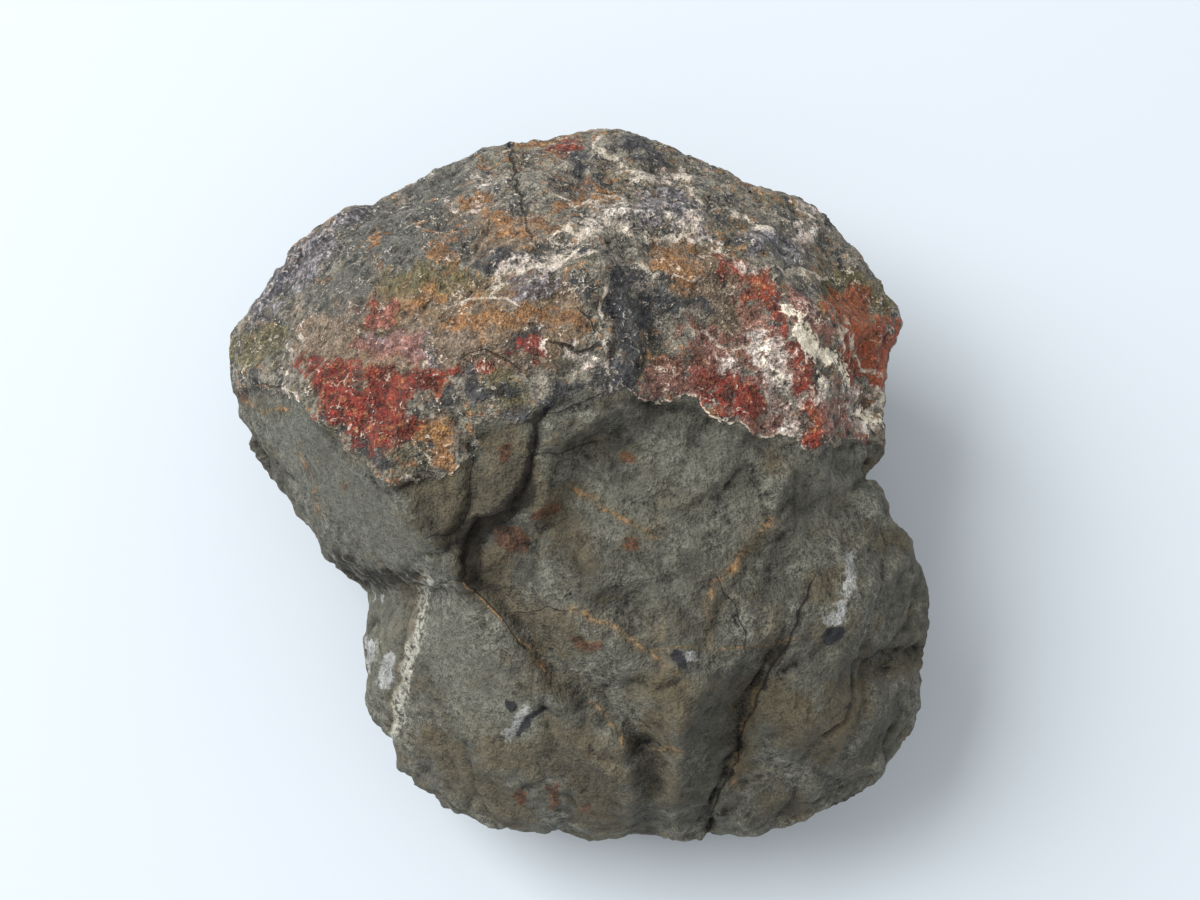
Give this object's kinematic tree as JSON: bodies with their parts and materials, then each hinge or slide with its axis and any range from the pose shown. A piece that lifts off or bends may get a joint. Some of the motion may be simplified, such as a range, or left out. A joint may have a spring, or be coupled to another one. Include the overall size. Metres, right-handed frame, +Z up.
{
  "type": "dolomite rock",
  "caption": "Rough hand-sized lump of grey dolomite with a red, cream and dark mineral crust over the back of its top, resting on a flat underside.",
  "frame": {"origin": "middle of the stone's bounding box in plan, at the height of the flat underside that it rests on", "axes": "+X to the stone's right as it is pictured, +Y towards its crusted back edge, +Z up"},
  "size_m": [0.13, 0.1324, 0.0777],
  "materials": {
    "stone": "rough"
  },
  "bodies": {
    "root": {"dolomite_rock": "stone"}
  },
  "joints": []
}
